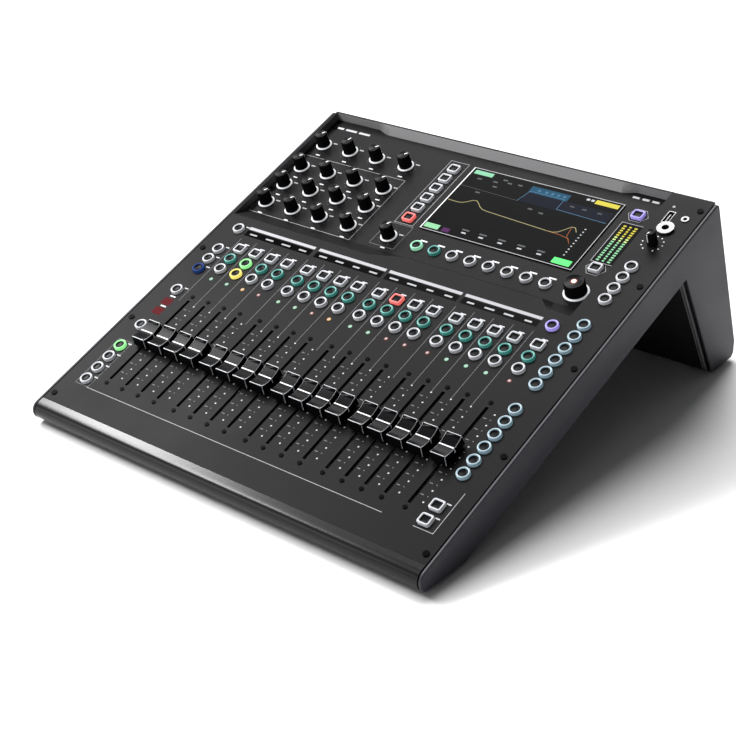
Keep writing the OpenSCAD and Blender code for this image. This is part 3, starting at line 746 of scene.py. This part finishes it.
def paint_light_on_ramps():
    """Paints the ramps and walls round the sunken section lighter than its floor: painted light for
    the light they catch.
    """
    turn = TO_PANEL.to_3x3()
    front_end, rear_ramp = 240, 380
    for node in ("control_recess", "top_panel"):
        mesh = frame["nodes"][node].data
        # The lighter ramp and wall paints added here are painted light.
        mesh.materials.append(RAMP_PAINTED_LIGHT)
        mesh.materials.append(WALL_PAINTED_LIGHT)
        rear_index, side_index = 1, 2
        for face in mesh.polygons:
            at = TO_PANEL @ face.center
            normal = (turn @ face.normal).normalized()
            sunk = RECESS_H - 0.1 < at.z < -0.05 and at.y > front_end
            if not (sunk and -0.05 < normal.z < 0.9):
                continue
            # Ramps facing forward get the painted highlight, side walls the lighter wall paint as
            # painted light.
            if normal.y < -0.3 and at.y > rear_ramp:
                face.material_index = rear_index
            elif abs(normal.x) > 0.5:
                face.material_index = side_index


# ---- printing and lights on the panel ----

def scale_ring(ink, u, v, h, reach, r, material, sides):
    """Eleven printed dots round a knob, open at its left."""
    for k in range(11):
        a = math.radians(-60 + 30 * k)
        ink.dot(u + reach * math.cos(a), v + reach * math.sin(a), h, r, material, rise=0.03,
                sides=sides)


def printing():
    """Lines between the channels, boxes round key blocks, plain dashes, and the scales."""
    ink = Piece("panel_printing", "panel")
    pitch, half_pitch, scale_u, scale_step = 20.14, 10.1, 10.4, 12.4
    places = [middle_u(fader) for fader in FADERS]
    for u in places[:-1] + [places[-2] + pitch]:
        ink.line([(u - half_pitch, 110), (u - half_pitch, 203)], 0.35, 0, PRINT_DIM)
    ink.patch(-196.5, -185.5, 100.5, 109.5, 0, PRINT_RED)
    ink.patch(-196.5, -185.5, 87.5, 96.5, 0, PRINT_RED)
    for v in (112.5, 98.6):
        ink.patch(-193.5, -187.0, v - 0.7, v + 0.7, 0, PRINT_WHITE, thick=0.05)
    ink.line([(-185, -12.2), (154, -12.2)], 0.5, 0, PRINT)
    ink.line([(184.5, -12.3), (203.5, -12.3), (203.5, 31)], 0.5, 0, PRINT)
    ink.line([(-200.5, 48.5), (-184, 48.5), (-184, -11.5), (-200.5, -11.5)], 0.35, 0, PRINT_DIM,
             closed=True)
    for u, v in middles("function_keys"):
        if u < 150 or v < 20:
            ink.patch(u + 5.2, u + 9.6, v + 4.6, v + 5.8, 0, PRINT_MID)
    for u, v in middles("mute_keys"):
        ink.patch(u - 1.0, u + 4.6, v + 7.0, v + 8.3, 0, PRINT_MID)
    phones = TO_PANEL @ Vector(JOINTS["phones_turn"]["pos_m"])
    scale_ring(ink, phones.x, phones.y, 0, 9.6, 0.7, PRINT_WHITE, 8)
    for u in places:
        for v in [10 + scale_step * i for i in range(9)]:
            ink.dot(u + scale_u, v, 0, 0.8, PRINT_MID, rise=0.03)
        for v in [16.2 + scale_step * i for i in range(8)]:
            ink.patch(u + 3.2, u + 6.4, v - 0.3, v + 0.3, 0, PRINT_DIM)
            ink.dot(u + scale_u, v, 0, 0.5, PRINT_DIM, rise=0.03)
    ink.done()


def channel_lights():
    """A coloured light with a white core over each fader, and one light at the top right."""
    rng = random.Random(3)
    lamps = Piece("channel_lights", "display")
    lamps.dot(185.3, 383, 0, 1.3, LIGHT["white"], rise=0.4)
    colours, lamp_v = ["soft_green", "mint", "amber", "pink"], 146
    for fader in FADERS:
        u = middle_u(fader)
        lamps.dot(u, lamp_v, 0, 1.9, LIGHT[rng.choice(colours)], rise=0.2)
        lamps.dot(u, lamp_v, 0.2, 1.2, LIGHT["white"], rise=0.2)
    lamps.done()


def displays():
    """Generic marks on the channel-name displays, and a plain light grey strip above each."""
    rng = random.Random(11)
    marks = Piece("display_marks", "display")
    strips = sorted(solids_of("display_windows"), key=lambda b: b[0].x)
    for low, high in strips:
        if high.z < -2:
            continue
        quarter = (high.x - low.x) / 4
        for i in range(4):
            middle = low.x + quarter * (i + 0.5)
            half = rng.uniform(3.5, 5.5)
            marks.patch(middle - half, middle + half, low.y + 2.6, low.y + 4.4, 0, LIGHT["white"])
        marks.patch(low.x, high.x, high.y + 1.2, high.y + 4.6, 0, PRINT)
    marks.done()


def meter():
    """Three columns of sixteen lights beside the screen, in a printed frame."""
    lamps = Piece("meter_lights", "display")
    base = RECESS_H + 0.6
    columns, first_v, step = (152.6, 158.2, 163.8), 306.0, 3.1
    for u in columns:
        for i in range(16):
            v = first_v + step * i
            colour = "soft_green" if i < 9 else "lime" if i < 11 else "yellow"
            half = 1.35 if u != columns[1] else 1.0
            lamps.patch(u - half, u + half, v - 0.8, v + 0.8, base, LIGHT[colour], thick=0.25)
    lamps.line([(147.4, 303), (147.4, 357), (169.6, 357), (169.6, 303)], 0.5, base, PRINT,
               closed=True)
    lamps.done()


def screen():
    """A generic equaliser page: header blocks, a response curve, tabs and small marks."""
    glass = RECESS_H + 1.2
    page = Piece("screen_page", "glass_black")
    left, right, front, rear = -25.0, 136.5, 287.0, 375.8

    def at(x, y):
        return left + x * (right - left), front + y * (rear - front)

    def patch(x1, x2, y1, y2, light):
        (u1, v1), (u2, v2) = at(x1, y1), at(x2, y2)
        page.patch(u1, u2, v1, v2, glass, LIGHT[light], thick=0.04)

    def stroke(points, width, light):
        page.line([at(x, y) for x, y in points], width, glass, LIGHT[light], thick=0.05)

    edge = Piece("screen_border", "panel")
    edge.line([(left - 1.6, front - 1.6), (left - 1.6, rear + 1.6), (right + 1.6, rear + 1.6),
               (right + 1.6, front - 1.6)], 0.7, glass, PRINT, closed=True, thick=0.1)
    # The white line along the left edge of the border is a painted highlight.
    edge.line([(left - 1.6, front - 1.6), (left - 1.6, rear + 1.6)], 1.1, glass, PRINT_WHITE,
              thick=0.12)
    edge.done()
    patch(0.01, 0.14, 0.93, 0.99, "mint")
    patch(0.84, 0.99, 0.93, 0.99, "yellow")
    patch(0.87, 0.985, 0.01, 0.09, "green")
    patch(0.0, 0.10, 0.01, 0.08, "soft_green")
    patch(0.125, 0.175, 0.01, 0.07, "purple")
    patch(0.42, 0.68, 0.86, 0.96, "blue")
    patch(0.42, 0.99, 0.70, 0.86, "deep_blue")
    for x in (0.47, 0.52, 0.56, 0.60, 0.64):
        patch(x, x + 0.018, 0.90, 0.93, "sky")
    stroke([(0.40, 0.70), (0.43, 0.88), (0.66, 0.88), (0.66, 0.72), (0.99, 0.70)], 0.5, "sky")
    stroke([(0.0, 0.72), (0.40, 0.70)], 0.3, "grey")
    curve = [(x / 40, 0.47 + 0.10 * math.exp(-((x / 40 - 0.17) / 0.05) ** 2)
              - 0.10 * (x / 40) + 0.16 * math.exp(-((x / 40 - 0.84) / 0.05) ** 2))
             for x in range(0, 36)]
    stroke(curve, 0.7, "curve")
    stroke([(0.70, 0.40), (0.80, 0.39), (0.86, 0.37), (0.89, 0.30), (0.84, 0.40), (0.83, 0.52)],
           0.5, "orange")
    for y in [0.14 + 0.045 * i for i in range(10)]:
        patch(0.905, 0.915, y, y + 0.014, "white")
    for x in (0.24, 0.36, 0.49, 0.62, 0.75):
        patch(x, x + 0.05, 0.10, 0.12, "grey")
        patch(x + 0.01, x + 0.04, 0.055, 0.075, "white")
    for x, y in ((0.06, 0.86), (0.17, 0.87), (0.26, 0.90), (0.33, 0.91), (0.19, 0.80),
                 (0.72, 0.80), (0.80, 0.80), (0.90, 0.80), (0.12, 0.66), (0.50, 0.62),
                 (0.58, 0.60), (0.22, 0.93)):
        patch(x, x + 0.03, y, y + 0.02, "grey")
    patch(0.78, 0.80, 0.95, 0.98, "white")
    patch(0.81, 0.83, 0.95, 0.98, "white")
    page.done()


def recess_marks():
    """Boxes, plain dashes and knob scales printed in the sunken section."""
    ink = Piece("recess_printing", "panel")
    h = RECESS_H
    ink.line([(-212, 246.8), (-212, 338), (-83.5, 338), (-83.5, 246.8)], 0.4, h, PRINT,
             closed=True)
    for start, count, length, v in ((-212, 3, 14, 384.5), (138, 3, 7, 389.5)):
        for i in range(count):
            u = start + i * (length + 3)
            ink.patch(u, u + length, v, v + 2.6, h, PRINT_MID)
    ink.line([(-62, 251), (-62, 283), (-33.5, 283), (-33.5, 251)], 0.35, h, PRINT_DIM,
             closed=True)
    ink.line([(-57, 284.8), (-57, 379.8), (-35.6, 379.8), (-35.6, 284.8)], 0.4, h, PRINT,
             closed=True)
    for u, v in middles("soft_keys"):
        ink.patch(u - 1.5, u + 6.0, v + 7.6, v + 9.2, h, PRINT_WHITE)
    for u, v in middles("screen_keys"):
        if u > 0:
            corners = [math.radians(60 * i) for i in range(6)]
            ink.line([(u + 9.975 * math.cos(a), v + 9.0 * math.sin(a)) for a in corners],
                     0.4, h, PRINT, closed=True)
    for i in range(17):
        joint = "gain_turn" if i == 16 else "turn_%d" % (i + 1)
        at = TO_PANEL @ Vector(JOINTS[joint]["pos_m"])
        ink.patch(at.x + 0.4, at.x + 5.4, at.y - 15.4, at.y - 13.9, h, PRINT_WHITE)
        ink.patch(at.x + 7.4, at.x + 12.4, at.y + 5.6, at.y + 6.9, h, PRINT_MID)
        scale_ring(ink, at.x, at.y, h, 10.6, 0.32, PRINT_DIM, 6)
    ink.done()


# ---- stage ----

def stage():
    """A wide white floor, in metres."""
    floor_mesh = bpy.data.meshes.new("floor")
    half = 12.0
    floor_mesh.from_pydata([(-half, -half, 0), (half, -half, 0), (half, half, 0),
                            (-half, half, 0)], [], [(0, 1, 2, 3)])
    floor_mesh.materials.append(
        surface("floor_white", (0.82, 0.82, 0.83), 0.6, grain=60, bump=0.01, mottle=0.01))
    floor = bpy.data.objects.new("floor", floor_mesh)
    bpy.context.scene.collection.objects.link(floor)


def softbox(name, at, size, power, aim=(0, 0, 0.08)):
    """A rectangular area light, placed and sized in metres and turned towards a point."""
    light = bpy.data.lights.new(name, "AREA")
    light.shape = "RECTANGLE"
    light.size, light.size_y = size
    light.energy = power
    lamp = bpy.data.objects.new(name, light)
    lamp.location = at
    lamp.rotation_euler = (Vector(at) - Vector(aim)).to_track_quat("Z", "Y").to_euler()
    bpy.context.scene.collection.objects.link(lamp)


def sky():
    """A pale sky, dimmer overhead so that gloss stays dark, and dimmer on the right."""
    world = bpy.data.worlds.new("studio")
    world.use_nodes = True
    nodes, links = world.node_tree.nodes, world.node_tree.links
    place = nodes.new("ShaderNodeTexCoord")
    axes = nodes.new("ShaderNodeSeparateXYZ")
    both = nodes.new("ShaderNodeMath")
    both.operation = "MULTIPLY"
    links.new(place.outputs["Generated"], axes.inputs["Vector"])
    fades = (("Z", 0.25, 0.80, 0.80, 0.40), ("X", -0.6, 0.45, 1.0, 0.09))
    for slot, (axis, *limits) in enumerate(fades):
        fade = nodes.new("ShaderNodeMapRange")
        for name, value in zip(("From Min", "From Max", "To Min", "To Max"), limits):
            fade.inputs[name].default_value = value
        links.new(axes.outputs[axis], fade.inputs["Value"])
        links.new(fade.outputs["Result"], both.inputs[slot])
    links.new(both.outputs["Value"], nodes["Background"].inputs["Strength"])
    nodes["Background"].inputs["Color"].default_value = (1.0, 1.0, 1.0, 1.0)
    bpy.context.scene.world = world


def key_light():
    """A large, distant source behind the console on its left, so the floor is evenly lit."""
    light = bpy.data.lights.new("key", "SUN")
    light.energy = 3.3
    light.angle = math.radians(34)
    lamp = bpy.data.objects.new("key", light)
    lamp.rotation_euler = Vector((-0.36, 0.46, 0.81)).to_track_quat("Z", "Y").to_euler()
    bpy.context.scene.collection.objects.link(lamp)


def studio():
    sky()
    key_light()
    # nose_box makes the streak along the nose, ramp_box lifts the faces that look forward
    softbox("nose_box", (-1.42, -0.41, 1.48), (1.5, 0.30), 68, aim=(-0.1, -0.23, 0.02))
    softbox("ramp_box", (-1.3, -1.75, 0.50), (0.9, 0.6), 4, aim=(0, 0.1, 0.12))
    bpy.context.scene.view_settings.view_transform = "Standard"


def camera():
    """Looks down on the console from the front right, at 40.6 degrees round and 27.8 up."""
    lens = bpy.data.cameras.new("camera")
    lens.sensor_width = 36.0
    lens.lens = 77.4
    lens.clip_end = 60.0
    eye = bpy.data.objects.new("camera", lens)
    azimuth, elevation, roll = (math.radians(a) for a in (40.63, 27.81, -2.1))
    eye.location = (0.8138, -0.9803, 0.6959)
    eye.rotation_mode = "XYZ"
    eye.rotation_euler = (Matrix.Rotation(azimuth, 3, "Z")
                          @ Matrix.Rotation(math.pi / 2 - elevation, 3, "X")
                          @ Matrix.Rotation(roll, 3, "Z")).to_euler()
    bpy.context.scene.collection.objects.link(eye)
    bpy.context.scene.camera = eye


camera()
studio()
stage()
case()
paint_light_on_ramps()
skirts()
leg_lips()
rear_fittings()
keys()
for fader in FADERS:
    fader_cap(fader)
knobs()
printing()
channel_lights()
displays()
meter()
screen()
recess_marks()
